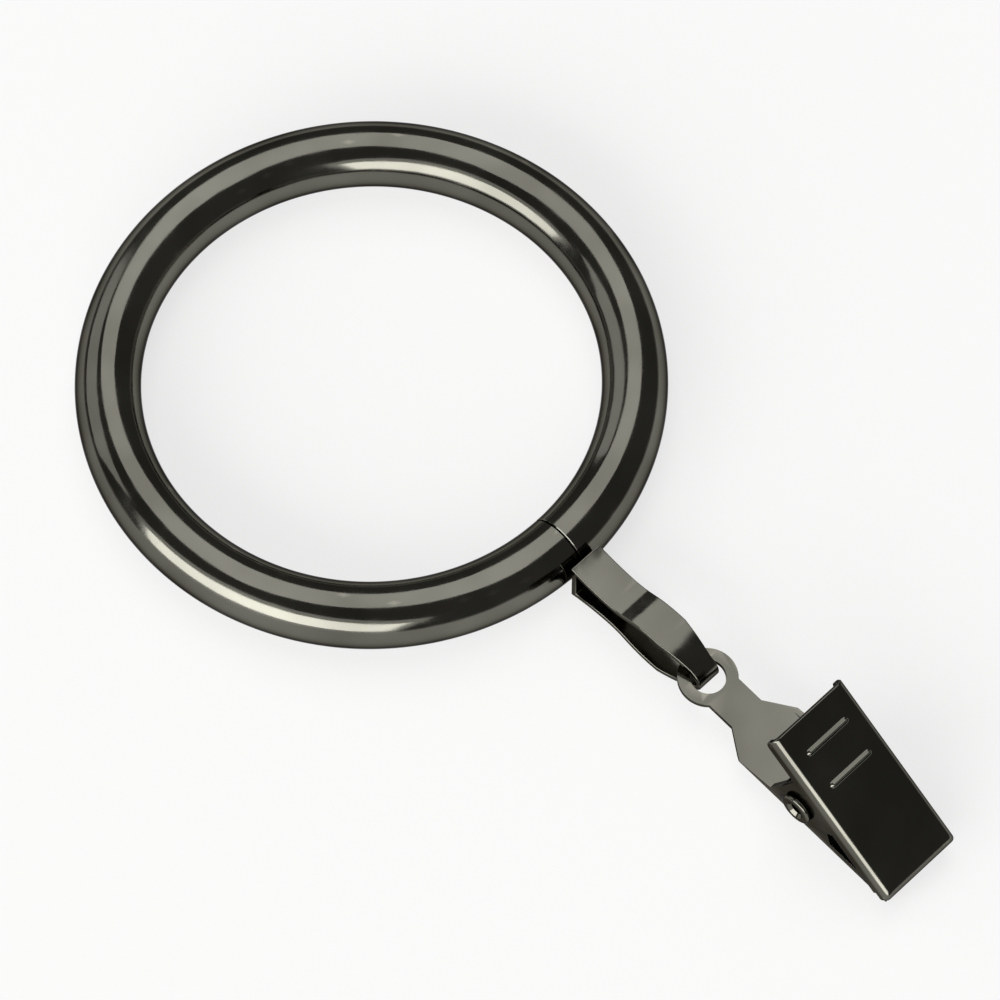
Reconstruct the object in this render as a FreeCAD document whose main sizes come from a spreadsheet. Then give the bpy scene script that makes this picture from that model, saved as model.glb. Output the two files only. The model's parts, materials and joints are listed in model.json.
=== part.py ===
import FreeCAD, Part
import math
import os

import Sketcher

# A metal curtain ring with a sprung clip, lying flat as it comes to rest.
# The origin is the centre of the ring, +Z is the ring's axis and +X points to its eyelet.
# All lengths are in millimetres and all angles in degrees.

Vector = FreeCAD.Vector

# How far from the pivot's plane each lip ends, so that both lips meet at the tips
LIP_END = "((Sizes.tip_reach * sin(Sizes.spread) + Sizes.tip_gap) / (1 + cos(Sizes.spread)))"
UP = Vector(0, 0, 1)
LATERAL = Vector(0, 1, 0)
TOLERANCE = 0.001

SIZES = {
    # ring: a rolled hollow tube, closed by a butt seam at its eyelet
    "ring_mid_radius": 21.75,
    "tube_radius": 2.75,
    "tube_wall": 0.6,
    "seam_gap": 0.14,
    # eyelet: one strip of sheet bent to a pear-shaped loop, with a shank that turns in the tube
    "strap_sheet": 0.5,
    "strap_width": 3.2,
    "strap_tip_width": 2.2,
    "eyelet_reach": 14.5,
    "eyelet_gap": 0.3,
    "base_half": 2.2,
    "waist_half": 1.6,
    "lobe_half": 2.45,
    "waist_reach": 4.5,
    "lobe_reach": 9.3,
    "tip_round": 1.3,
    "shank_width": 1.9,
    "shank_bore": 2.3,
    "hook_half": 1.3,
    "hook_depth": 1.6,
    # both jaws: sheet trays that meet at their tips and spread towards their handles
    "jaw_sheet": 0.5,
    "jaw_width": 8.0,
    "tip_reach": 9.8,
    "handle_reach": 6.7,
    "pivot_height": 4.0,
    "spread": 30.0,
    "ear_radius": 2.2,
    "ear_play": 0.1,
    "pin_play": 0.04,
    "tip_gap": 0.02,
    "bend_round": 0.8,
    "cut_over": 1.0,
    # front jaw
    "front_flange": 1.7,
    "front_web_tip": 2.9,
    "front_web_handle": 2.6,
    "rib_first": 2.6,
    "rib_second": 5.9,
    "rib_length": 5.8,
    "rib_rise": 0.24,
    "rib_sunk": 0.12,
    # back jaw and the tongue that hangs on the eyelet
    "back_flange": 1.1,
    "back_bend_round": 0.45,
    "back_web_tip": 3.4,
    "back_web_handle": 3.3,
    "tongue_reach": 13.6,
    "tongue_end": 2.5,
    "tongue_hole": 1.5,
    "neck_half": 1.7,
    "neck_start": 9.2,
    # tubular rivet
    "rivet_radius": 1.1,
    "rivet_bore": 0.6,
    "head_radius": 1.45,
    "head_thick": 0.42,
    "head_dish": 0.25,
    # torsion spring
    "wire_radius": 0.35,
    "coil_radius": 1.7,
    "coil_turns": 5,
    "coil_pitch": 0.76,
    "points_per_turn": 12,
    "points_per_leg": 3,
    "leg_reach": 5.4,
    "leg_rest": 0.02,
}

doc = FreeCAD.newDocument("curtain_ring_with_clip")


def fill_sheet(sizes):
    """The driving dimensions, one row each: a name and its value."""
    sheet = doc.addObject("Spreadsheet::Sheet", "Sizes")
    for row, (alias, number) in enumerate(sizes.items(), start=1):
        sheet.set(f"A{row}", alias)
        sheet.set(f"B{row}", str(number))
        sheet.setAlias(f"B{row}", alias)
    doc.recompute()
    return sheet


sheet = fill_sheet(SIZES)


def size(name):
    """A driving dimension as the sheet holds it."""
    return float(sheet.get(name))


def worth(expression):
    """The value of an expression on the sheet's cells."""
    return float(sheet.evalExpression(expression))


def bind(thing, **expressions):
    """Ties properties of an object to the sheet. Two underscores stand for a dot."""
    for name, expression in expressions.items():
        thing.setExpression(name.replace("__", "."), expression)


# Helpers for bodies made from sketches

def new_body(label):
    body = doc.addObject("PartDesign::Body", label)
    body.Label = label
    return body


def new_sketch(body, role, label):
    """A sketch on one of the body's own origin planes."""
    sketch = body.newObject("Sketcher::SketchObject", label)
    plane = next(item for item in body.Origin.OriginFeatures if item.Role == role)
    sketch.AttachmentSupport = [(plane, "")]
    sketch.MapMode = "FlatFace"
    return sketch


def polygon(sketch, corners):
    """A closed outline whose corners are pairs of expressions, each one bound to the sheet."""
    points = [Vector(worth(across), worth(up), 0) for across, up in corners]
    first = sketch.GeometryCount
    count = len(points)
    for index, point in enumerate(points):
        sketch.addGeometry(Part.LineSegment(point, points[(index + 1) % count]), False)
    for index in range(count):
        line = first + index
        following = first + (index + 1) % count
        sketch.addConstraint(Sketcher.Constraint("Coincident", line, 2, following, 1))
    for index, (across, up) in enumerate(corners):
        line = first + index
        for kind, expression, number in (
            ("DistanceX", across, points[index].x),
            ("DistanceY", up, points[index].y),
        ):
            place = sketch.addConstraint(Sketcher.Constraint(kind, -1, 1, line, 1, number))
            sketch.setExpression(f"Constraints[{place}]", expression)


def circle(sketch, radius, across="0"):
    """A circle centred on the sketch's horizontal axis, with its radius bound to the sheet."""
    centre = Vector(worth(across), 0, 0)
    index = sketch.addGeometry(Part.Circle(centre, UP, worth(radius)), False)
    place = sketch.addConstraint(Sketcher.Constraint("Radius", index, worth(radius)))
    sketch.setExpression(f"Constraints[{place}]", radius)
    place = sketch.addConstraint(Sketcher.Constraint("DistanceX", -1, 1, index, 3, centre.x))
    sketch.setExpression(f"Constraints[{place}]", across)
    sketch.addConstraint(Sketcher.Constraint("DistanceY", -1, 1, index, 3, 0))


def feature(body, kind, sketch, label, length=None, midplane=True, through=False):
    """A pad or pocket of a sketch. Its length is an expression, or it goes through all."""
    item = body.newObject(kind, label)
    item.Profile = sketch
    item.Midplane = midplane
    if through:
        item.Type = "ThroughAll"
    else:
        bind(item, Length=length)
    sketch.Visibility = False
    body.Tip = item
    return item


def pad(body, sketch, label, length, midplane=True):
    return feature(body, "PartDesign::Pad", sketch, label, length, midplane)


def pocket(body, sketch, label, length=None):
    return feature(body, "PartDesign::Pocket", sketch, label, length, True, length is None)


def round_edges(body, label, radius, wanted):
    """Rounds the edges of the body's last feature for which wanted(edge) holds."""
    doc.recompute()
    base = body.Tip
    names = [f"Edge{number}" for number, edge in enumerate(base.Shape.Edges, 1) if wanted(edge)]
    item = body.newObject("PartDesign::Fillet", label)
    item.Base = (base, names)
    bind(item, Radius=radius)
    body.Tip = item
    return item


def near(number, target):
    return abs(number - target) < TOLERANCE


# Ring

def build_ring():
    outer = doc.addObject("Part::Torus", "tube_outside")
    bind(outer, Radius1="Sizes.ring_mid_radius", Radius2="Sizes.tube_radius")
    inner = doc.addObject("Part::Torus", "tube_inside")
    bind(inner, Radius1="Sizes.ring_mid_radius", Radius2="Sizes.tube_radius - Sizes.tube_wall")
    seam = doc.addObject("Part::Box", "butt_seam")
    bind(
        seam,
        Length="4 * Sizes.tube_radius",
        Width="Sizes.seam_gap",
        Height="4 * Sizes.tube_radius",
    )
    bind(
        seam,
        Placement__Base__x="Sizes.ring_mid_radius - 2 * Sizes.tube_radius",
        Placement__Base__y="-Sizes.seam_gap / 2",
        Placement__Base__z="-2 * Sizes.tube_radius",
    )
    bore = doc.addObject("Part::Cylinder", "shank_hole")
    bore.Placement.Rotation = FreeCAD.Rotation(LATERAL, 90)
    bind(
        bore,
        Radius="Sizes.shank_bore / 2",
        Height="2 * Sizes.tube_radius",
        Placement__Base__x="Sizes.ring_mid_radius",
    )
    tools = doc.addObject("Part::MultiFuse", "ring_cuts")
    tools.Shapes = [inner, seam, bore]
    ring = doc.addObject("Part::Cut", "ring")
    ring.Base = outer
    ring.Tool = tools
    ring.Label = "ring"
    return ring


# Eyelet

def arc(centre, radius, start, end):
    """An arc that runs anticlockwise from one angle to another, in radians."""
    return Part.ArcOfCircle(Part.Circle(centre, UP, radius), start, end)


def loop_arcs(base, inset):
    """The pear-shaped loop, drawn inset from its outside: its arcs and its half height at the base.

    Seen along its width, each leg bends in from the base to the waist, out to the lobe
    and round the tip, on arcs that meet without a corner.
    """
    outside = size("ring_mid_radius") + size("tube_radius")
    waist_at = outside + size("waist_reach")
    lobe_at = outside + size("lobe_reach")
    tip_at = outside + size("eyelet_reach")
    waist = size("waist_half")
    lobe = size("lobe_half")
    flare = size("base_half")
    tip = size("tip_round")

    reach = tip_at - tip - lobe_at
    lobe_round = (reach ** 2 + lobe ** 2 - tip ** 2) / (2 * (lobe - tip))
    rise = lobe - waist
    waist_round = ((lobe_at - waist_at) ** 2 + rise ** 2) / (2 * rise) - lobe_round
    spread = flare - waist
    back = outside + size("eyelet_gap")
    base_round = ((waist_at - back) ** 2 + spread ** 2) / (2 * spread)

    waist_turn = math.asin((lobe_at - waist_at) / (waist_round + lobe_round))
    tip_turn = math.atan2(lobe_round - lobe, reach)
    base_radius = base_round + inset
    base_turn = math.asin((waist_at - base) / base_radius)
    half_height = waist + base_round - base_radius * math.cos(base_turn)

    down = -math.pi / 2
    base_centre = Vector(waist_at, waist + base_round, 0)
    waist_centre = Vector(waist_at, waist + waist_round, 0)
    lobe_centre = Vector(lobe_at, lobe - lobe_round, 0)
    tip_centre = Vector(tip_at - tip, 0, 0)
    upper = [
        (base_centre, base_radius, down - base_turn, down),
        (waist_centre, waist_round + inset, down, down + waist_turn),
        (lobe_centre, lobe_round - inset, tip_turn, math.pi / 2 + waist_turn),
    ]
    legs = []
    for centre, radius, start, end in upper:
        legs.append(arc(centre, radius, start, end))
        legs.append(arc(Vector(centre.x, -centre.y, 0), radius, -end, -start))
    nose = arc(tip_centre, tip - inset, -tip_turn, tip_turn)
    return legs + [nose], half_height


def lines(points):
    return [Part.LineSegment(start, end) for start, end in zip(points, points[1:])]


def build_eyelet():
    sheet_thick = size("strap_sheet")
    outside = size("ring_mid_radius") + size("tube_radius")
    base = outside + size("eyelet_gap")
    hook_end = outside - size("hook_depth")
    hook_start = hook_end - sheet_thick
    hook = size("hook_half")

    body = new_body("eyelet")
    side = new_sketch(body, "XZ_Plane", "eyelet_side")
    outer, flare = loop_arcs(base, 0)
    shank = [
        Vector(base, flare, 0),
        Vector(base, sheet_thick, 0),
        Vector(hook_end, sheet_thick, 0),
        Vector(hook_end, hook, 0),
        Vector(hook_start, hook, 0),
        Vector(hook_start, -hook, 0),
        Vector(hook_end, -hook, 0),
        Vector(hook_end, -sheet_thick, 0),
        Vector(base, -sheet_thick, 0),
        Vector(base, -flare, 0),
    ]
    inner, eye = loop_arcs(base + sheet_thick, sheet_thick)
    floor_of_eye = [Vector(base + sheet_thick, eye, 0), Vector(base + sheet_thick, -eye, 0)]
    for item in outer + lines(shank) + inner + lines(floor_of_eye):
        side.addGeometry(item, False)
    for index in range(side.GeometryCount):
        side.addConstraint(Sketcher.Constraint("Block", index))
    pad(body, side, "eyelet_strip", "Sizes.strap_width")

    # The strip narrows to its shank inside the tube, and to its tip where the tongue hangs
    plan = new_sketch(body, "XY_Plane", "eyelet_plan")
    tube_side = "(Sizes.ring_mid_radius + Sizes.tube_radius + Sizes.eyelet_gap)"
    tip_side = "(Sizes.ring_mid_radius + Sizes.tube_radius + Sizes.eyelet_reach)"
    for sign in ("", "-"):
        polygon(plan, [
            ("Sizes.ring_mid_radius - Sizes.tube_radius", f"{sign}Sizes.shank_width / 2"),
            (tube_side, f"{sign}Sizes.shank_width / 2"),
            (tube_side, f"{sign}Sizes.strap_width"),
            ("Sizes.ring_mid_radius - Sizes.tube_radius", f"{sign}Sizes.strap_width"),
        ])
        polygon(plan, [
            (f"{tip_side} - 2 * Sizes.strap_tip_width", f"{sign}Sizes.strap_width / 2"),
            (f"{tip_side} - Sizes.strap_tip_width / 2", f"{sign}Sizes.strap_tip_width / 2"),
            (f"{tip_side} + Sizes.strap_width", f"{sign}Sizes.strap_tip_width / 2"),
            (f"{tip_side} + Sizes.strap_width", f"{sign}Sizes.strap_width"),
            (f"{tip_side} - 2 * Sizes.strap_tip_width", f"{sign}Sizes.strap_width"),
        ])
    pocket(body, plan, "eyelet_widths")
    return body


# Clip: its pieces are drawn around the pivot, with +X to the tips and the bisector's side up

def clip_lean():
    """How far the back jaw tips down until the round of its tip meets the floor, in degrees."""
    bend = size("back_bend_round")
    run = size("tip_reach") + size("tongue_reach") - bend
    rise = bend - size("jaw_sheet") / 2
    drop = math.asin((size("tube_radius") - bend) / math.hypot(run, rise))
    return math.degrees(drop + math.atan2(rise, run))


def pivot_place():
    """The pivot in the part's frame: the middle of the tongue's hole lies on the eyelet's tip."""
    lean = math.radians(clip_lean())
    tip_mid = worth(
        "Sizes.ring_mid_radius + Sizes.tube_radius + Sizes.eyelet_reach - Sizes.strap_sheet / 2"
    )
    depth = size("pivot_height") - size("jaw_sheet") / 2
    across = tip_mid + size("tongue_reach") * math.cos(lean) + depth * math.sin(lean)
    height = depth * math.cos(lean) - size("tongue_reach") * math.sin(lean)
    return Vector(across, 0, height)


def place_at_pivot(piece, turn):
    piece.Placement = FreeCAD.Placement(pivot_place(), FreeCAD.Rotation(LATERAL, turn))


def pivot_holes(body):
    """Round holes for the rivet through both ears."""
    sketch = new_sketch(body, "XZ_Plane", f"{body.Label}_pivot")
    circle(sketch, "Sizes.rivet_radius + Sizes.pin_play")
    pocket(body, sketch, f"{body.Label}_pivot_holes")


def tray_bend(side, height, tip):
    """A test for a tray's folds, which run along both sides and the tip at one height."""

    def is_fold(edge):
        box = edge.BoundBox
        along_side = near(abs(box.YMin), side) and near(box.YLength, 0)
        along_tip = near(box.XMin, tip) and near(box.XLength, 0)
        return near(box.ZMax, height) and near(box.ZLength, 0) and (along_side or along_tip)

    return is_fold


def build_front_jaw():
    body = new_body("front_jaw")
    top = "Sizes.pivot_height"
    edge = "Sizes.pivot_height - Sizes.front_flange"

    profile = new_sketch(body, "XZ_Plane", "front_profile")
    polygon(profile, [
        ("-Sizes.handle_reach", top),
        ("Sizes.tip_reach", top),
        ("Sizes.tip_reach", edge),
        ("Sizes.front_web_tip", edge),
        ("Sizes.ear_radius", "0"),
        ("-Sizes.ear_radius", "0"),
        ("-Sizes.front_web_handle", edge),
        ("-Sizes.handle_reach", edge),
    ])
    pad(body, profile, "front_block", "Sizes.jaw_width")
    disc = new_sketch(body, "XZ_Plane", "front_ear")
    circle(disc, "Sizes.ear_radius")
    pad(body, disc, "front_ears", "Sizes.jaw_width")

    hollow = new_sketch(body, "XZ_Plane", "front_hollow")
    polygon(hollow, [
        ("-Sizes.handle_reach - Sizes.cut_over", "-Sizes.pivot_height"),
        ("Sizes.tip_reach - Sizes.jaw_sheet", "-Sizes.pivot_height"),
        ("Sizes.tip_reach - Sizes.jaw_sheet", "Sizes.pivot_height - Sizes.jaw_sheet"),
        ("-Sizes.handle_reach - Sizes.cut_over", "Sizes.pivot_height - Sizes.jaw_sheet"),
    ])
    pocket(body, hollow, "front_tray", "Sizes.jaw_width - 2 * Sizes.jaw_sheet")
    mouth = new_sketch(body, "XZ_Plane", "front_mouth")
    polygon(mouth, [
        ("Sizes.tip_reach - 2 * Sizes.jaw_sheet", "-Sizes.pivot_height"),
        ("Sizes.tip_reach + Sizes.cut_over", "-Sizes.pivot_height"),
        ("Sizes.tip_reach + Sizes.cut_over", LIP_END),
        ("Sizes.tip_reach - 2 * Sizes.jaw_sheet", LIP_END),
    ])
    pocket(body, mouth, "front_lip", "Sizes.jaw_width")
    pivot_holes(body)

    side, height, tip = size("jaw_width") / 2, size("pivot_height"), size("tip_reach")
    thick = size("jaw_sheet")
    round_edges(body, "front_bends", "Sizes.bend_round", tray_bend(side, height, tip))
    round_edges(
        body, "front_inner_bends", "Sizes.bend_round - Sizes.jaw_sheet",
        tray_bend(side - thick, height - thick, tip - thick),
    )
    for name, place in (("first", "Sizes.rib_first"), ("second", "Sizes.rib_second")):
        add_rib(body, name, place)
    place_at_pivot(body, clip_lean() + size("spread"))
    return body


def add_rib(body, name, place):
    """A pressed rib across the plate, thickest in the middle, at this distance from its handle end."""
    sketch = new_sketch(body, "XY_Plane", f"rib_{name}_sketch")
    bind(
        sketch,
        AttachmentOffset__Base__x=f"{place} - Sizes.handle_reach",
        AttachmentOffset__Base__z="Sizes.pivot_height - Sizes.rib_sunk",
    )
    half = size("rib_length") / 2
    bulge = size("rib_rise") + size("rib_sunk")
    start = Vector(0, -half, 0)
    end = Vector(0, half, 0)
    sketch.addGeometry(Part.Arc(start, Vector(bulge, 0, 0), end), False)
    sketch.addGeometry(Part.LineSegment(end, start), False)
    for index in range(2):
        sketch.addConstraint(Sketcher.Constraint("Block", index))
    rib = body.newObject("PartDesign::Revolution", f"rib_{name}")
    rib.Profile = sketch
    rib.ReferenceAxis = (sketch, ["V_Axis"])
    rib.Angle = 360
    body.Tip = rib


def build_back_jaw():
    body = new_body("back_jaw")
    base = "-Sizes.pivot_height"
    edge = "Sizes.back_flange - Sizes.pivot_height"
    width = "(Sizes.jaw_width - 2 * Sizes.jaw_sheet - 2 * Sizes.ear_play)"
    half_width = f"{width} / 2"

    profile = new_sketch(body, "XZ_Plane", "back_profile")
    polygon(profile, [
        ("-Sizes.handle_reach", base),
        ("Sizes.tip_reach", base),
        ("Sizes.tip_reach", edge),
        ("Sizes.back_web_tip", edge),
        ("Sizes.ear_radius", "0"),
        ("-Sizes.ear_radius", "0"),
        ("-Sizes.back_web_handle", edge),
        ("-Sizes.handle_reach", "Sizes.jaw_sheet - Sizes.pivot_height"),
    ])
    pad(body, profile, "back_block", width)
    disc = new_sketch(body, "XZ_Plane", "back_ear")
    circle(disc, "Sizes.ear_radius")
    pad(body, disc, "back_ears", width)

    hollow = new_sketch(body, "XZ_Plane", "back_hollow")
    polygon(hollow, [
        ("-Sizes.handle_reach - Sizes.cut_over", "Sizes.pivot_height"),
        ("Sizes.tip_reach - Sizes.jaw_sheet", "Sizes.pivot_height"),
        ("Sizes.tip_reach - Sizes.jaw_sheet", "Sizes.jaw_sheet - Sizes.pivot_height"),
        ("-Sizes.handle_reach - Sizes.cut_over", "Sizes.jaw_sheet - Sizes.pivot_height"),
    ])
    pocket(body, hollow, "back_tray", f"{width} - 2 * Sizes.jaw_sheet")
    lip = new_sketch(body, "XZ_Plane", "back_lip_sketch")
    polygon(lip, [
        ("Sizes.tip_reach - Sizes.jaw_sheet", base),
        ("Sizes.tip_reach", base),
        ("Sizes.tip_reach", f"-{LIP_END}"),
        ("Sizes.tip_reach - Sizes.jaw_sheet", f"-{LIP_END}"),
    ])
    pad(body, lip, "back_lip", width)
    pivot_holes(body)

    tongue = new_sketch(body, "XY_Plane", "tongue_sketch")
    bind(tongue, AttachmentOffset__Base__z=base)
    polygon(tongue, [
        ("-Sizes.handle_reach + Sizes.jaw_sheet", f"-{half_width}"),
        ("-Sizes.handle_reach + Sizes.jaw_sheet", half_width),
        ("-Sizes.handle_reach", half_width),
        ("-Sizes.neck_start", "Sizes.neck_half"),
        ("-Sizes.tongue_reach", "Sizes.neck_half"),
        ("-Sizes.tongue_reach", "-Sizes.neck_half"),
        ("-Sizes.neck_start", "-Sizes.neck_half"),
        ("-Sizes.handle_reach", f"-{half_width}"),
    ])
    pad(body, tongue, "tongue_neck", "Sizes.jaw_sheet", midplane=False)
    for name, radius in (("tongue_end", "Sizes.tongue_end"), ("tongue_hole", "Sizes.tongue_hole")):
        sketch = new_sketch(body, "XY_Plane", f"{name}_sketch")
        bind(sketch, AttachmentOffset__Base__z=base)
        circle(sketch, radius, "-Sizes.tongue_reach")
        if name == "tongue_end":
            pad(body, sketch, name, "Sizes.jaw_sheet", midplane=False)
        else:
            pocket(body, sketch, name)
    round_edges(
        body, "back_bends", "Sizes.back_bend_round",
        tray_bend(worth(half_width), -size("pivot_height"), size("tip_reach")),
    )
    place_at_pivot(body, clip_lean())
    return body


# Rivet

def build_rivet():
    """A tube through both pairs of ears, with a dished, rounded head at each end."""
    body = new_body("pivot_rivet")
    sketch = new_sketch(body, "XY_Plane", "rivet_profile")
    ear = size("jaw_width") / 2 + size("pin_play")
    end = ear + size("head_thick")
    head = size("head_radius")
    bore = size("rivet_bore")
    shank = size("rivet_radius")
    rim = size("head_thick") / 2
    corners = [
        Vector(bore, -end + size("head_dish"), 0),
        Vector(bore, end - size("head_dish"), 0),
        Vector(bore + size("head_dish"), end, 0),
        Vector(head - rim, end, 0),
    ]
    outline = lines(corners)
    outline.append(Part.Arc(corners[-1], Vector(head, end - rim, 0), Vector(head - rim, ear, 0)))
    outline += lines([
        Vector(head - rim, ear, 0),
        Vector(shank, ear, 0),
        Vector(shank, -ear, 0),
        Vector(head - rim, -ear, 0),
    ])
    outline.append(
        Part.Arc(Vector(head - rim, -ear, 0), Vector(head, rim - end, 0), Vector(head - rim, -end, 0))
    )
    outline += lines([
        Vector(head - rim, -end, 0),
        Vector(bore + size("head_dish"), -end, 0),
        corners[0],
    ])
    for item in outline:
        sketch.addGeometry(item, False)
    for index in range(sketch.GeometryCount):
        sketch.addConstraint(Sketcher.Constraint("Block", index))
    turned = body.newObject("PartDesign::Revolution", "rivet_turned")
    turned.Profile = sketch
    turned.ReferenceAxis = (sketch, ["V_Axis"])
    turned.Angle = 360
    body.Tip = turned
    place_at_pivot(body, clip_lean())
    return body


# Torsion spring

def tangent_angle(point, radius, side):
    """Where a straight wire from a point touches a circle about the origin, as an angle."""
    distance = math.hypot(point.x, point.z)
    return math.atan2(point.z, point.x) + side * math.acos(radius / distance)


def between(start, end, steps):
    """Evenly spaced points from start up to, but without, end."""
    return [start + (end - start) * (index / steps) for index in range(steps)]


def build_spring():
    """A close coil round the rivet. One leg presses the front jaw's handle, the other the back jaw's."""
    coil = size("coil_radius")
    wire = size("wire_radius")
    inside = size("pivot_height") - size("jaw_sheet") - wire - size("leg_rest")
    reach = -size("leg_reach")
    spread = math.radians(size("spread"))
    front_end = Vector(
        reach * math.cos(spread) + inside * math.sin(spread),
        0,
        inside * math.cos(spread) - reach * math.sin(spread),
    )
    back_end = Vector(reach, 0, -inside)
    start = tangent_angle(front_end, coil, -1)
    finish = tangent_angle(back_end, coil, 1)
    turn = (start - finish) % (2 * math.pi) + 2 * math.pi * size("coil_turns")
    width = size("coil_pitch") * turn / (2 * math.pi)
    front_end.y = -width / 2
    back_end.y = width / 2

    steps = round(turn / (2 * math.pi) * size("points_per_turn"))
    winding = []
    for index in range(steps + 1):
        angle = start - turn * index / steps
        across = width * (index / steps - 1 / 2)
        winding.append(Vector(coil * math.cos(angle), across, coil * math.sin(angle)))
    per_leg = int(size("points_per_leg"))
    lead_in = between(front_end, winding[0], per_leg)
    lead_out = between(back_end, winding[-1], per_leg)[::-1]
    points = lead_in + winding + lead_out
    curve = Part.BSplineCurve()
    curve.interpolate(points)
    section = Part.Wire(Part.makeCircle(wire, points[0], curve.tangent(curve.FirstParameter)[0]))
    piece = doc.addObject("Part::Feature", "torsion_spring")
    piece.Shape = Part.Wire(curve.toShape()).makePipeShell([section], True, False)
    piece.Label = "torsion_spring"
    place_at_pivot(piece, clip_lean())
    return piece


# The whole part

def check_document():
    """Stops where an object has failed to compute."""
    for item in doc.Objects:
        wrong = [word for word in item.State if word in ("Invalid", "Error")]
        if wrong:
            raise RuntimeError(f"{item.Label} is {wrong}")


def write_pieces(pieces):
    """Tests each piece's shape, then writes it under its label."""
    for piece in pieces:
        shape = piece.Shape
        if shape.isNull() or not shape.isValid() or len(shape.Solids) != 1:
            raise RuntimeError(f"{piece.Label} has no single valid solid")
    os.makedirs("parts", exist_ok=True)
    for piece in pieces:
        piece.Shape.exportStep(f"parts/{piece.Label}.step")
        box = piece.Shape.BoundBox
        print(
            f"{piece.Label}: {piece.Shape.Volume:.2f} mm3,"
            f" x {box.XMin:.2f} to {box.XMax:.2f},"
            f" y {box.YMin:.2f} to {box.YMax:.2f},"
            f" z {box.ZMin:.2f} to {box.ZMax:.2f}"
        )


pieces = [
    build_ring(),
    build_eyelet(),
    build_back_jaw(),
    build_front_jaw(),
    build_rivet(),
    build_spring(),
]
doc.recompute()
check_document()
write_pieces(pieces)
pivot = pivot_place()
print(f"pivot at {pivot.x:.4f}, {pivot.z:.4f}, lean {clip_lean():.3f} degrees")
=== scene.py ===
# %% [markdown]
# # A curtain ring with a clip
#
# This is a small piece of curtain hardware in polished black nickel: a tube rolled into a
# ring, an eyelet that turns in it, and a sprung clip that holds the curtain.
# The solid pieces come from a CAD model, which already has every real size. In Blender they
# get their finish, and the pieces whose form shows a press or a bending tool are made again
# as finer meshes.

# %% Load the solid pieces
import json
import math

import bmesh
import bpy
from mathutils import Matrix, Vector

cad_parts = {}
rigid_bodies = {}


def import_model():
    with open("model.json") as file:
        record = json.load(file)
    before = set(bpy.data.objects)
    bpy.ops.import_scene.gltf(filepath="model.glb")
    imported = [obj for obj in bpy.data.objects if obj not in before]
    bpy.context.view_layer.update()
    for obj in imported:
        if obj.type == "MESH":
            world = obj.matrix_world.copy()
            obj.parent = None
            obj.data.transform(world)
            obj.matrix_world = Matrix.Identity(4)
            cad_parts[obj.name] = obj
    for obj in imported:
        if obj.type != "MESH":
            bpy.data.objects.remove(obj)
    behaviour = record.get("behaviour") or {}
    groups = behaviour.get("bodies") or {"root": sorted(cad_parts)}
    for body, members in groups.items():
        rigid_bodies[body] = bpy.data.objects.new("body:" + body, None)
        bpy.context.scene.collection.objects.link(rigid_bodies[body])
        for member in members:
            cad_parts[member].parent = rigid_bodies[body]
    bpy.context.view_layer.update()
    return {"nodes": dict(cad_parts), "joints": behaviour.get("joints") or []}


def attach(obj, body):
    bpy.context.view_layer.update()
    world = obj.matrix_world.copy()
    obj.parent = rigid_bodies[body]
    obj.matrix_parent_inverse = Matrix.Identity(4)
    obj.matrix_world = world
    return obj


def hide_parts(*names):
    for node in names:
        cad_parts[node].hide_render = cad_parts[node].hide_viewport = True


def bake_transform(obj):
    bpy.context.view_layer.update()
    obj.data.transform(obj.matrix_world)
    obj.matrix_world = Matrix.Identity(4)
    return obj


for leftover in list(bpy.data.objects):
    bpy.data.objects.remove(leftover)

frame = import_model()
MM = 0.001
scene = bpy.context.scene
scene.view_settings.view_transform = "Standard"
print("pieces:", sorted(frame["nodes"]))

# %% [markdown]
# ## Three small helpers
#
# Colours are easiest to choose as the hex values that a paint or web chart gives. Those are
# sRGB, and Blender's shaders want linear light, so one function turns them over.
# A material is a chain of nodes, and a second function adds a node together with its
# settings, its values and its links, which keeps each material short enough to read.
# A third one turns a compass angle and a height angle into a direction, which is how
# lamps and cameras are easiest to place.

# %% Colour, node and direction helpers
def linear(hex_colour):
    """An sRGB hex colour as the linear colour that shaders work in."""
    channels = []
    for start in (1, 3, 5):
        value = int(hex_colour[start:start + 2], 16) / 255
        channels.append(value / 12.92 if value <= 0.04045 else ((value + 0.055) / 1.055) ** 2.4)
    return (*channels, 1.0)


def add_node(tree, kind, title, settings=None, values=None, links=None):
    """Adds one node. A link is a socket name with the node and output that feed it."""
    item = tree.nodes.new(kind)
    item.label = title
    for name, value in (settings or {}).items():
        setattr(item, name, value)
    for name, value in (values or {}).items():
        item.inputs[name].default_value = value
    for name, (source, output) in (links or {}).items():
        tree.links.new(source.outputs[output], item.inputs[name])
    return item


def direction(azimuth, elevation):
    """The way to a place seen from the part, counted in degrees from the front and up."""
    turn = math.radians(azimuth)
    rise = math.radians(elevation)
    level = math.cos(rise)
    return Vector((math.sin(turn) * level, -math.cos(turn) * level, math.sin(rise)))


print("mid grey, linear:", round(linear("#808080")[0], 4))

# %% [markdown]
# ## Polished black nickel
#
# The real finish is a thin bright layer of nickel alloy, plated on steel that was barrel
# polished first. It is a true metal surface, so it has no colour of its own beyond what it
# reflects, dimmed to a warm near-black. That is why `Metallic` is 1 and the base colour is a
# dark olive grey: all the life in it comes from the lights. Most metals brighten where they
# are seen edge-on. This alloy hardly does, and the grey `Specular Tint`, which colours just
# that grazing rim, keeps the outline of the tube dark against a white table.
#
# Three things keep it from looking like a computer's mirror. The plating's thickness
# drifts, which shifts the tint over several millimetres. Handling leaves faint smudges, which
# blur the mirror in patches. And polishing leaves a slight waviness with a few hairlines.
# The sizes below are in millimetres, because the object's coordinates are scaled to them.
# Real hairlines are a few hundredths of a millimetre wide, which is too fine to show, so
# they are drawn several times as wide.

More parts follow.
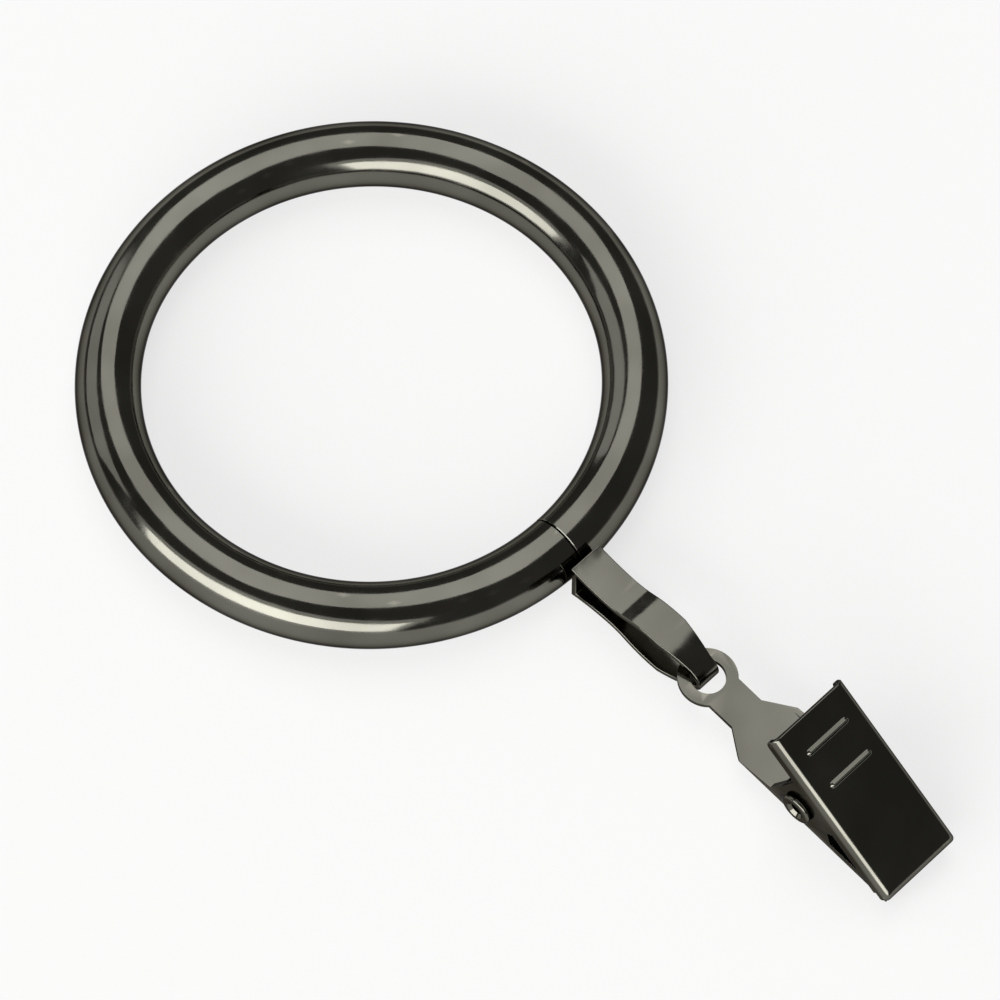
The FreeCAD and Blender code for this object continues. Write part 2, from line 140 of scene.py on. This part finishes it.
# %% Build the plated finishes
TINT_PATCH = 9.0
SMUDGE = 4.5
WAVE = 2.2
HAIRLINE = 0.16
RIM_TINT = "#8c8b8f"
BARED_NICKEL = "#a5a195"


def plated_metal(name, dark, light, gloss, rough, wave_depth, hairline_depth, stretch):
    """Black nickel plate. gloss and rough are the roughness of its clean and smudged places."""
    material = bpy.data.materials.new(name)
    material.use_nodes = True
    tree = material.node_tree
    shader = tree.nodes["Principled BSDF"]
    shader.inputs["Metallic"].default_value = 1.0
    shader.inputs["Specular Tint"].default_value = linear(RIM_TINT)

    place = add_node(tree, "ShaderNodeTexCoord", "Place on the object")
    scaled = add_node(
        tree, "ShaderNodeMapping", "Millimetres",
        values={"Scale": (1 / MM, 1 / MM, 1 / MM)},
        links={"Vector": (place, "Object")},
    )

    # Tint: the plating drifts between two very dark tones
    drift = add_node(
        tree, "ShaderNodeTexNoise", "Plating drift",
        values={"Scale": 1 / TINT_PATCH, "Detail": 2.0, "Roughness": 0.5},
        links={"Vector": (scaled, "Vector")},
    )
    spread = add_node(
        tree, "ShaderNodeMapRange", "Drift contrast",
        values={"From Min": 0.35, "From Max": 0.65},
        links={"Value": (drift, "Fac")},
    )
    tint = add_node(
        tree, "ShaderNodeMix", "Tint", {"data_type": "RGBA"},
        links={"Factor": (spread, "Result")},
    )
    tint.inputs["A"].default_value = linear(dark)
    tint.inputs["B"].default_value = linear(light)

    # Worn edges: where the form turns sharply outward, handling has bared a paler nickel
    form = add_node(tree, "ShaderNodeNewGeometry", "Form")
    edge = add_node(
        tree, "ShaderNodeMapRange", "Sharp edges",
        values={"From Min": 0.56, "From Max": 0.72, "To Max": 0.35},
        links={"Value": (form, "Pointiness")},
    )
    colour = add_node(
        tree, "ShaderNodeMix", "Edge wear", {"data_type": "RGBA"},
        links={"Factor": (edge, "Result")},
    )
    colour.inputs["B"].default_value = linear(BARED_NICKEL)
    tree.links.new(tint.outputs["Result"], colour.inputs["A"])
    tree.links.new(colour.outputs["Result"], shader.inputs["Base Color"])

    # Smudges: patches where the mirror is a little blurred
    smudge = add_node(
        tree, "ShaderNodeTexNoise", "Smudges",
        values={"Scale": 1 / SMUDGE, "Detail": 5.0, "Roughness": 0.62, "Distortion": 0.4},
        links={"Vector": (scaled, "Vector")},
    )
    blur = add_node(
        tree, "ShaderNodeMapRange", "Blur of the mirror",
        values={"From Min": 0.38, "From Max": 0.68, "To Min": gloss, "To Max": rough},
        links={"Value": (smudge, "Fac")},
    )
    tree.links.new(blur.outputs["Result"], shader.inputs["Roughness"])

    # Relief: slow waves from polishing, and hairlines drawn out along one direction
    wave = add_node(
        tree, "ShaderNodeTexNoise", "Polishing waves",
        values={"Scale": 1 / WAVE, "Detail": 1.0, "Roughness": 0.4},
        links={"Vector": (scaled, "Vector")},
    )
    drawn = add_node(
        tree, "ShaderNodeMapping", "Drawn out",
        values={"Scale": stretch},
        links={"Vector": (scaled, "Vector")},
    )
    hairline = add_node(
        tree, "ShaderNodeTexNoise", "Hairlines",
        values={"Scale": 1 / HAIRLINE, "Detail": 3.0, "Roughness": 0.7},
        links={"Vector": (drawn, "Vector")},
    )
    swell = add_node(
        tree, "ShaderNodeBump", "Waviness",
        values={"Strength": 0.25, "Distance": wave_depth * MM},
        links={"Height": (wave, "Fac")},
    )
    scratch = add_node(
        tree, "ShaderNodeBump", "Hairline relief",
        values={"Strength": 0.2, "Distance": hairline_depth * MM},
        links={"Height": (hairline, "Fac"), "Normal": (swell, "Normal")},
    )
    tree.links.new(scratch.outputs["Normal"], shader.inputs["Normal"])
    return material


tube_finish = plated_metal(
    "black_nickel_on_polished_tube", "#5d5c55", "#6d6c64",
    gloss=0.08, rough=0.18, wave_depth=0.08, hairline_depth=0.004, stretch=(1, 1, 0.2),
)
sheet_finish = plated_metal(
    "black_nickel_on_stamped_sheet", "#5a5952", "#696860",
    gloss=0.09, rough=0.2, wave_depth=0.1, hairline_depth=0.006, stretch=(0.15, 1, 1),
)
wire_finish = plated_metal(
    "black_nickel_on_spring_wire", "#62615a", "#74736b",
    gloss=0.16, rough=0.3, wave_depth=0.02, hairline_depth=0.008, stretch=(1, 1, 1),
)
print("finishes:", [item.name for item in (tube_finish, sheet_finish, wire_finish)])

# %% [markdown]
# ## The ring
#
# The ring is a steel tube, rolled until its two ends meet, so it has a fine butt seam where
# the eyelet sits. A plain torus has no ends. This one is drawn as the tool makes it: a round
# section carried round the circle from one end to the other. The end of each lengthwise line
# is moved to where the seam, or the hole for the eyelet's shank, really starts, and the
# inside wall closes the mesh. The section is fine, because a mirror shows every facet.

# %% Roll the tube into a ring
RING_RADIUS = 21.75
TUBE_RADIUS = 2.75
TUBE_WALL = 0.6
SEAM = 0.14
SHANK_HOLE = 2.3
EDGE_BREAK = 0.05
STEPS_AROUND = 120
STEPS_ALONG = 300
STEPS_INSIDE = 90
SEAM_CORNER = math.radians(40)


def new_piece(name, bm, finish, body):
    """Turns mesh data in millimetres into an object with a finish, riding on its body."""
    bmesh.ops.scale(bm, vec=(MM, MM, MM), verts=bm.verts)
    bmesh.ops.recalc_face_normals(bm, faces=bm.faces)
    mesh = bpy.data.meshes.new(name)
    bm.to_mesh(mesh)
    bm.free()
    mesh.materials.append(finish)
    mesh.shade_smooth()
    piece = bpy.data.objects.new(name, mesh)
    scene.collection.objects.link(piece)
    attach(piece, body)
    return piece


def skin(bm, rows):
    """Joins neighbouring rows of points with faces. Each row closes on itself."""
    made = [[bm.verts.new(point) for point in row] for row in rows]
    count = len(made[0])
    for first, second in zip(made, made[1:]):
        for index in range(count):
            after = (index + 1) % count
            bm.faces.new((first[index], first[after], second[after], second[index]))
    return made


def tube_end(around, radius):
    """Half the gap across the seam, at an angle around the tube, counted from its outside."""
    height = radius * math.sin(around)
    hole = SHANK_HOLE / 2
    if math.cos(around) > 0 and abs(height) < hole:
        return max(SEAM / 2, math.sqrt(hole ** 2 - height ** 2))
    return SEAM / 2


def tube_point(around, radius, share, inset=0.0):
    """A point on the tube. share runs from 0 at one end to 1 at the other."""
    reach = RING_RADIUS + radius * math.cos(around)
    gap = math.asin((tube_end(around, radius) + inset) / reach)
    turn = gap + share * (2 * math.pi - 2 * gap)
    return Vector((reach * math.cos(turn), reach * math.sin(turn), radius * math.sin(around)))


def build_ring():
    """The tube's mesh: along its outside, over the broken edge, and back along its bore."""
    around = [2 * math.pi * index / STEPS_AROUND for index in range(STEPS_AROUND)]
    outside = [index / STEPS_ALONG for index in range(STEPS_ALONG + 1)]
    inside = [index / STEPS_INSIDE for index in range(STEPS_INSIDE, -1, -1)]
    bore = TUBE_RADIUS - TUBE_WALL
    rows = [[tube_point(angle, TUBE_RADIUS - EDGE_BREAK, 0) for angle in around]]
    for share in outside:
        inset = EDGE_BREAK if share in (0, 1) else 0
        rows.append([tube_point(angle, TUBE_RADIUS, share, inset) for angle in around])
    rows.append([tube_point(angle, TUBE_RADIUS - EDGE_BREAK, 1) for angle in around])
    for share in inside:
        rows.append([tube_point(angle, bore, share) for angle in around])
    bm = bmesh.new()
    made = skin(bm, rows)
    for index in range(len(around)):
        after = (index + 1) % len(around)
        bm.faces.new((made[-1][index], made[-1][after], made[0][after], made[0][index]))
    return new_piece("polished_ring", bm, tube_finish, "ring_body")


ring = build_ring()
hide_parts("ring")
ring.data.set_sharp_from_angle(angle=SEAM_CORNER)
print("ring faces:", len(ring.data.polygons))

# %% [markdown]
# ## Stamped pieces with broken edges
#
# The eyelet and the back jaw are cut from sheet and folded. Their solids are exact, but a cut
# edge is never perfectly sharp: tumbling before plating rounds it by a few hundredths of a
# millimetre, and that narrow round is what catches the light along every outline. The mesh
# of the solid is copied, its flat places are cleaned to whole faces, and a bevel
# modifier rounds what is left of the edges. Smooth shading would then bend the look of the
# flat faces towards the rounds beside them, so a second modifier weighs each face by its
# size: a large face keeps its own direction, and the narrow ones turn between them.

# %% Round the edges of the folded pieces
EYELET_ROUND = 0.09
JAW_ROUND = 0.08
SAME_PLACE = 1e-7
STILL_FLAT = math.radians(0.4)
SHARP = math.radians(35)
ROUND_STEPS = 3


def broken_edges(node, name, width, body):
    """A copy of a solid piece with its edges rounded to this width in millimetres."""
    bm = bmesh.new()
    bm.from_mesh(frame["nodes"][node].data)
    bmesh.ops.remove_doubles(bm, verts=bm.verts, dist=SAME_PLACE)
    bmesh.ops.dissolve_limit(bm, angle_limit=STILL_FLAT, verts=bm.verts, edges=bm.edges)
    bmesh.ops.scale(bm, vec=(1 / MM, 1 / MM, 1 / MM), verts=bm.verts)
    piece = new_piece(name, bm, sheet_finish, body)
    bevel = piece.modifiers.new("Tumbled edges", "BEVEL")
    bevel.width = width * MM
    bevel.segments = ROUND_STEPS
    bevel.limit_method = "ANGLE"
    bevel.angle_limit = SHARP
    piece.modifiers.new("Flat faces look flat", "WEIGHTED_NORMAL")
    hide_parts(node)
    return piece


eyelet = broken_edges("eyelet", "eyelet_strap", EYELET_ROUND, "eyelet_body")
back = broken_edges("back_jaw", "back_jaw_sheet", JAW_ROUND, "clip_body")
print("rounded:", eyelet.name, back.name)

# %% [markdown]
# ## The front jaw
#
# The front jaw is the piece that the fingers press. It starts as a flat blank. A press folds
# its two sides and its tip down to a shallow tray, leaves an ear on each side for the rivet,
# and pushes two short ribs up near the handle's end for grip. The ribs are soft swellings,
# not bars laid on top, so the surface is drawn as a fine grid: a U-shaped section is carried
# along the jaw, its sides reach down as far as the blank does there, and the ribs lift it.
# The section's corner has the radius that a folding tool gives.
#
# The sizes are in millimetres and count from the rivet's axis: along the jaw to its tip or
# its handle's end, out to its sides, and up to its plate. `EAR` is the ear's radius, and on
# both sides of it a slanting web leads up to the edge of the flange.

# %% Sizes and outline of the front jaw
SHEET = 0.5
JAW_HALF = 4.0
TOP = 4.0
TIP = 9.8
HANDLE = 6.7
FLANGE = 1.7
FLANGE_EDGE = TOP - FLANGE
EAR = 2.2
WEB_TIP = 2.9
WEB_HANDLE = 2.6
SPREAD = math.radians(30)
LIP_START = TIP - 2 * SHEET
LIP_GAP = 0.02
LIP_END = (TIP * math.sin(SPREAD) + LIP_GAP) / (1 + math.cos(SPREAD))
FOLD = 0.8
INNER_FOLD = FOLD - SHEET
BROKEN = 0.07
RIB_AT = (2.6 - HANDLE, 5.9 - HANDLE)
RIB_HALF_LENGTH = 2.35
RIB_HALF_WIDTH = 0.34
RIB_RISE = 0.26
HANDLE_CORNER = 0.7
TIP_CORNER = 0.4


def side_edge(x):
    """How far down the folded side reaches, at a place along the jaw."""
    if abs(x) <= EAR:
        return -math.sqrt(EAR ** 2 - x ** 2)
    if EAR < x < WEB_TIP:
        return FLANGE_EDGE * (x - EAR) / (WEB_TIP - EAR)
    if -WEB_HANDLE < x < -EAR:
        return FLANGE_EDGE * (-x - EAR) / (WEB_HANDLE - EAR)
    if x > LIP_START:
        return LIP_END
    corner = HANDLE_CORNER - (x + HANDLE)
    if corner > 0:
        return FLANGE_EDGE + HANDLE_CORNER - math.sqrt(HANDLE_CORNER ** 2 - corner ** 2)
    return FLANGE_EDGE


def drawn_in(x, radius):
    """How far a round of this radius, which ends at the tip, has drawn the outside in."""
    beyond = max(x - (TIP - radius), 0)
    return radius - math.sqrt(max(radius ** 2 - beyond ** 2, 0))


def rib_rise(x, y):
    """Height of the pressed ribs: a smooth swelling with round ends."""
    height = 0.0
    for centre in RIB_AT:
        along = max(abs(y) - (RIB_HALF_LENGTH - RIB_HALF_WIDTH), 0)
        distance = math.hypot(x - centre, along) / RIB_HALF_WIDTH
        if distance < 1:
            height = max(height, RIB_RISE * (0.5 + 0.5 * math.cos(math.pi * distance)))
    return height


print("lip ends", round(LIP_END, 3), "mm from the pivot's plane")

# %% Fold and press the front jaw
BEND_STEPS = 10
SIDE_STEPS = 7
PLATE_STEPS = 56
RIB_STEPS = 8
EAR_STEPS = 15
WEB_STEPS = 16
PLAIN_PLACES = (-5.5, -3.5, -3.1)
CORNER_STEP = 0.12
CORNER_STEPS = 6
BESIDE_STEP = 0.01
JUST_PAST = 0.001
CLOSEST = 0.015
MERGE = 0.002


def arch(half, low, top, across, down):
    """One face of the folded sheet: up a side, round the bend, over the plate and down.

    across and down are the bend's reach along the plate and along the side.
    """
    bend = [math.pi / 2 * step / BEND_STEPS for step in range(BEND_STEPS + 1)]
    rise = top - down - low
    flat = half - across
    side = [(half, low + rise * step / SIDE_STEPS) for step in range(SIDE_STEPS)]
    side += [(flat + across * math.cos(a), top - down + down * math.sin(a)) for a in bend]
    plate = [(flat - 2 * flat * step / PLATE_STEPS, top) for step in range(1, PLATE_STEPS)]
    return side + plate + [(-y, z) for y, z in reversed(side)]


def pressed(x, points, plate):
    """Puts a section's points at their place along the jaw and lifts the plate at a rib."""
    above = plate - BESIDE_STEP
    return [Vector((x, y, z + (rib_rise(x, y) if z > above else 0))) for y, z in points]


def section(x, inset=0.0, cut=0.0, solid=False):
    """One closed U-shaped section. inset shrinks its outside, cut grows its inside.

    A solid section is one through the lip, whose inside lies flat on the lip's end.
    """
    low = side_edge(x)
    half = JAW_HALF - inset - drawn_in(x, TIP_CORNER)
    top = TOP - inset - drawn_in(x, FOLD)
    fold = FOLD - inset - drawn_in(x, FOLD)
    outside = pressed(x, arch(half, low + BROKEN, top, fold, fold), top)

    inner_half = min(JAW_HALF - SHEET + cut, half - 2 * BROKEN)
    if solid:
        inside = pressed(x, arch(inner_half, low, low, INNER_FOLD, 0), low)
    else:
        inner_top = TOP - SHEET + cut
        bent = arch(inner_half, low + BROKEN, inner_top, INNER_FOLD, INNER_FOLD)
        inside = pressed(x, bent, inner_top)

    outer_foot = half - BROKEN
    inner_foot = inner_half + BROKEN / 2
    left = [Vector((x, -y, low)) for y in (outer_foot, inner_foot)]
    right = [Vector((x, y, low)) for y in (inner_foot, outer_foot)]
    return outside + left + inside[::-1] + right


def tip_round():
    """Places along the round of the tip, close enough to show no facets."""
    turns = [math.pi / 2 * step / BEND_STEPS for step in range(BEND_STEPS + 1)]
    return [TIP - FOLD + FOLD * math.sin(turn) for turn in turns]


def stations():
    """Places along the jaw, close together at the ribs, the ears and the steps of the outline."""
    handle = -HANDLE + BROKEN
    places = {handle, LIP_START - BESIDE_STEP, LIP_START + BESIDE_STEP, TIP - SHEET}
    places.update(handle + CORNER_STEP * step for step in range(1, CORNER_STEPS + 1))
    for centre in RIB_AT:
        around = range(-RIB_STEPS - 1, RIB_STEPS + 2)
        places.update(centre + RIB_HALF_WIDTH * step / RIB_STEPS for step in around)
    quarter = math.pi / 2 / EAR_STEPS
    places.update(EAR * math.sin(quarter * step) for step in range(-EAR_STEPS, EAR_STEPS + 1))
    beyond = WEB_TIP + JUST_PAST
    places.update(beyond + (LIP_START - WEB_TIP) * step / WEB_STEPS for step in range(WEB_STEPS))
    places.update((-WEB_HANDLE - JUST_PAST, *PLAIN_PLACES))
    places.update(place for place in tip_round() if place < TIP - SHEET)
    kept = [-HANDLE]
    for place in sorted(places):
        if place - kept[-1] > CLOSEST:
            kept.append(place)
    return kept[1:]


def build_front_jaw():
    """The jaw's mesh, level and around its pivot, with its two ends closed."""
    rows = [section(-HANDLE, BROKEN, BROKEN)]
    rows += [section(x) for x in stations()]
    rows.append(section(TIP - SHEET + JUST_PAST, solid=True))
    rows += [section(x, solid=True) for x in tip_round() if x > TIP - SHEET]
    bm = bmesh.new()
    made = skin(bm, rows)
    feet = 4
    count = (len(rows[0]) - feet) // 2
    for row, flip in ((made[0], False), (made[-1], True)):
        inner = row[count + 2:2 * count + 2][::-1]
        for index in range(count - 1):
            face = (row[index], row[index + 1], inner[index + 1], inner[index])
            bm.faces.new(face[::-1] if flip else face)
        bm.faces.new((row[count - 1], row[count], row[count + 1], inner[count - 1]))
        bm.faces.new((inner[0], row[2 * count + 2], row[2 * count + 3], row[0]))
    bmesh.ops.remove_doubles(bm, verts=bm.verts, dist=MERGE)
    return bm


jaw_mesh = build_front_jaw()
print("front jaw faces:", len(jaw_mesh.faces))

# %% [markdown]
# The jaw was drawn level, around its pivot. The real one sits on the rivet, tipped up from
# the back jaw, which itself leans from the eyelet down to the table, where the round of its
# tip touches. So the mesh is turned about the pivot's axis and moved there. The joint in the
# model's record knows where the pivot is.

# %% Set the front jaw on its pivot
pivot = next(joint for joint in frame["joints"] if joint["name"] == "jaw_open")
pivot_at = Vector(pivot["pos_m"]) / MM
TONGUE = 13.6
BACK_BEND = 0.45
CUT_CORNER = math.radians(50)
run = TIP + TONGUE - BACK_BEND
rise = BACK_BEND - SHEET / 2
LEAN = math.asin((TUBE_RADIUS - BACK_BEND) / math.hypot(run, rise)) + math.atan2(rise, run)
on_pivot = Matrix.Translation(pivot_at) @ Matrix.Rotation(LEAN + SPREAD, 4, "Y")
bmesh.ops.transform(jaw_mesh, matrix=on_pivot, verts=jaw_mesh.verts)
front = new_piece("front_jaw_pressed", jaw_mesh, sheet_finish, "jaw_body")
front.data.set_sharp_from_angle(angle=CUT_CORNER)
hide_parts("front_jaw")
print("front jaw from", [round(value, 2) for value in pivot_at], "mm")

# %% [markdown]
# ## The spring
#
# A torsion spring is one wire: a straight leg, a close coil round the rivet, and another
# straight leg. A curve with a round bevel is the natural way to draw a wire, because only
# its centre line has to be described. It is turned to a mesh afterwards.

# %% Wind the spring
WIRE = 0.35
COIL = 1.7
COIL_PITCH = 0.76
COIL_TURNS = 5
COIL_STEPS = 24
LEG_REACH = 5.4
LEG_GAP = 0.02
LEG_INSIDE = TOP - SHEET - WIRE - LEG_GAP


def touch_angle(point, side):
    """Where a straight wire from a point meets the coil, as an angle about the pivot."""
    return math.atan2(point.z, point.x) + side * math.acos(COIL / point.length)


def spring_line():
    """The wire's centre line around the pivot, from the front leg to the back one."""
    front_leg = Matrix.Rotation(SPREAD, 3, "Y") @ Vector((-LEG_REACH, 0, LEG_INSIDE))
    back_leg = Vector((-LEG_REACH, 0, -LEG_INSIDE))
    start = touch_angle(front_leg, -1)
    turn = (start - touch_angle(back_leg, 1)) % (2 * math.pi) + 2 * math.pi * COIL_TURNS
    width = COIL_PITCH * turn / (2 * math.pi)
    coil = []
    steps = round(turn / (2 * math.pi) * COIL_STEPS)
    for index in range(steps + 1):
        angle = start - turn * index / steps
        across = width * (index / steps - 0.5)
        coil.append(Vector((COIL * math.cos(angle), across, COIL * math.sin(angle))))
    first = [front_leg + Vector((0, -width / 2, 0))]
    last = [back_leg + Vector((0, width / 2, 0))]
    lead_in = [first[0].lerp(coil[0], share) for share in (0.3, 0.6, 0.85)]
    lead_out = [coil[-1].lerp(last[0], share) for share in (0.15, 0.4, 0.7)]
    return first + lead_in + coil + lead_out + last, width


line, coil_width = spring_line()
print("wire length:", round(sum((b - a).length for a, b in zip(line, line[1:])), 1), "mm")

# %% Give the wire its thickness
WIRE_ROUNDNESS = 5
WIRE_END = math.radians(60)


def wire_piece(name, points, radius, finish):
    """A round wire along points, as a mesh. Its ends are closed."""
    curve = bpy.data.curves.new(name, "CURVE")
    curve.dimensions = "3D"
    curve.bevel_depth = radius * MM
    curve.bevel_resolution = WIRE_ROUNDNESS
    curve.use_fill_caps = True
    spline = curve.splines.new("POLY")
    spline.points.add(len(points) - 1)
    for target, point in zip(spline.points, points):
        target.co = (*(point * MM), 1)
    drawn = bpy.data.objects.new(name, curve)
    scene.collection.objects.link(drawn)
    bpy.context.view_layer.update()
    graph = bpy.context.evaluated_depsgraph_get()
    mesh = bpy.data.meshes.new_from_object(drawn.evaluated_get(graph))
    bpy.data.objects.remove(drawn)
    mesh.materials.clear()
    mesh.materials.append(finish)
    mesh.shade_smooth()
    mesh.set_sharp_from_angle(angle=WIRE_END)
    piece = bpy.data.objects.new(name, mesh)
    scene.collection.objects.link(piece)
    return piece


at_pivot = Matrix.Translation(pivot_at) @ Matrix.Rotation(LEAN, 4, "Y")
spring = wire_piece(
    "coiled_spring", [at_pivot @ point for point in line], WIRE, wire_finish
)
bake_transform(spring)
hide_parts("torsion_spring")
print("coil width:", round(coil_width, 2), "mm")

# %% [markdown]
# ## The rivet
#
# The rivet is a short tube whose ends were rolled outward over the ears. Its solid already
# has the dished, rounded heads, so it stays as it is and only takes the finish.

# %% Finish the rivet
rivet = frame["nodes"]["pivot_rivet"]
rivet.data.materials.clear()
rivet.data.materials.append(sheet_finish)
print("rivet material:", rivet.data.materials[0].name)

# %% [markdown]
# ## Floor
#
# The part lies on a matt white table. A polished metal shows its surroundings, so a plain
# white surface, lit to just under full white, serves the camera and the metal alike, and it
# takes the part's soft shadow. The lamps stay at the level that suits the metal. What lifts
# the table to the white of the photograph is its own material: for camera, mirror and glass
# rays a share of it is a plain white of strength 1, and the rest is the lit matt surface.

# %% Lay the floor
FLOOR_AT = -TUBE_RADIUS * MM
FLOOR_HALF = 6.0
PLAIN_WHITE = 0.7


def build_floor():
    """A wide table top under the part, whose material shows a share of plain white."""
    bm = bmesh.new()
    bmesh.ops.create_grid(bm, x_segments=1, y_segments=1, size=FLOOR_HALF)
    mesh = bpy.data.meshes.new("table_top")
    bm.to_mesh(mesh)
    bm.free()
    floor = bpy.data.objects.new("table_top", mesh)
    floor.location.z = FLOOR_AT
    scene.collection.objects.link(floor)
    material = bpy.data.materials.new("matt_white_table")
    material.use_nodes = True
    tree = material.node_tree
    shader = tree.nodes["Principled BSDF"]
    shader.inputs["Base Color"].default_value = linear("#f7f7f5")
    shader.inputs["Roughness"].default_value = 0.9
    shader.inputs["Specular IOR Level"].default_value = 0.2
    path = add_node(tree, "ShaderNodeLightPath", "Who looks at the table")
    eye = add_node(
        tree, "ShaderNodeMath", "Camera or mirror", {"operation": "MAXIMUM"},
        links={0: (path, "Is Camera Ray"), 1: (path, "Is Glossy Ray")},
    )
    looks = add_node(
        tree, "ShaderNodeMath", "Or through glass", {"operation": "MAXIMUM"},
        links={0: (eye, "Value"), 1: (path, "Is Transmission Ray")},
    )
    share = add_node(
        tree, "ShaderNodeMath", "Share of plain white", {"operation": "MULTIPLY"},
        values={1: PLAIN_WHITE}, links={0: (looks, "Value")},
    )
    plain = add_node(tree, "ShaderNodeEmission", "Plain white", values={"Strength": 1.0})
    mixed = add_node(
        tree, "ShaderNodeMixShader", "Table and plain white",
        links={0: (share, "Value"), 1: (shader, "BSDF"), 2: (plain, "Emission")},
    )
    output = tree.nodes["Material Output"]
    tree.links.new(mixed.outputs["Shader"], output.inputs["Surface"])
    mesh.materials.append(material)
    return floor


floor = build_floor()
print("floor at", round(floor.location.z / MM, 2), "mm")

# %% [markdown]
# ## Light
#
# Polished tube reads through long soft bands, and each band is the picture of a lamp. A
# broad panel hangs high behind the part and draws the olive grey bands down the middle of
# the tube. A long low window in front is stronger: it draws the white band on the side that
# faces the viewer, and a wide faint haze around it softens the ends of that band. A dim wall
# on the left gives that side its narrow lights, and the right side has no lamp at all.
#
# The room itself stays dim, so that whatever sees neither lamp nor table goes nearly black.
# Only its lowest strip is pale, as a far wall is behind a table.

# %% Hang the lamps
PART_MIDDLE = Vector((15.0, 0.0, 0.0)) * MM


def softbox(name, azimuth, elevation, distance, width, height, radiance):
    """A flat white lamp that faces the part, at a distance in metres."""
    away = direction(azimuth, elevation)
    lamp = bpy.data.lights.new(name, "AREA")
    lamp.shape = "RECTANGLE"
    lamp.size = width
    lamp.size_y = height
    lamp.energy = radiance * math.pi * width * height
    item = bpy.data.objects.new(name, lamp)
    item.location = away * distance + PART_MIDDLE
    item.rotation_euler = away.to_track_quat("Z", "Y").to_euler()
    scene.collection.objects.link(item)


def soften_room(colour, dim, pale):
    """The room is dim overhead and turns pale near the level of the table."""
    world = bpy.data.worlds.new("dim_studio")
    scene.world = world
    world.use_nodes = True
    tree = world.node_tree
    looking = add_node(tree, "ShaderNodeTexCoord", "Looking this way")
    height = add_node(
        tree, "ShaderNodeSeparateXYZ", "Height", links={"Vector": (looking, "Generated")},
    )
    fade = add_node(
        tree, "ShaderNodeMapRange", "Pale low wall",
        values={"From Min": 0.01, "From Max": 0.1, "To Min": pale, "To Max": dim},
        links={"Value": (height, "Z")},
    )
    background = tree.nodes["Background"]
    background.inputs["Color"].default_value = linear(colour)
    tree.links.new(fade.outputs["Result"], background.inputs["Strength"])


softbox("overhead_panel", 225, 66, distance=2.0, width=1.5, height=2.0, radiance=1.6)
softbox("low_window", 12, 22, distance=2.0, width=3.2, height=1.1, radiance=4.8)
softbox("window_haze", 12, 25, distance=2.1, width=3.8, height=1.9, radiance=0.9)
softbox("left_wall", 285, 28, distance=2.0, width=1.6, height=1.2, radiance=1.0)
soften_room("#f6f5f2", dim=0.12, pale=0.6)

# %% [markdown]
# ## Camera
#
# The photograph looks down on the rings from in front, two thirds of the way up, with a long
# lens that keeps the circles from bulging. The camera aims at the middle of the part.

# %% Set up the camera
AZIMUTH = 45
ELEVATION = 62
DISTANCE = 0.62
FRAME_MM = 82.0
SENSOR = 36.0
AIM = Vector((15.0, 0.0, -1.0)) * MM


def build_camera():
    """A camera whose square picture spans FRAME_MM at the part."""
    away = direction(AZIMUTH, ELEVATION)
    lens = bpy.data.cameras.new("long_lens")
    lens.sensor_width = SENSOR
    lens.sensor_height = SENSOR
    lens.lens = SENSOR * DISTANCE / (FRAME_MM * MM)
    lens.clip_start = 0.01
    camera = bpy.data.objects.new("camera", lens)
    camera.location = AIM + away * DISTANCE
    camera.rotation_euler = away.to_track_quat("Z", "Y").to_euler()
    scene.collection.objects.link(camera)
    scene.camera = camera
    return camera


camera = build_camera()
print("lens:", round(camera.data.lens), "mm")
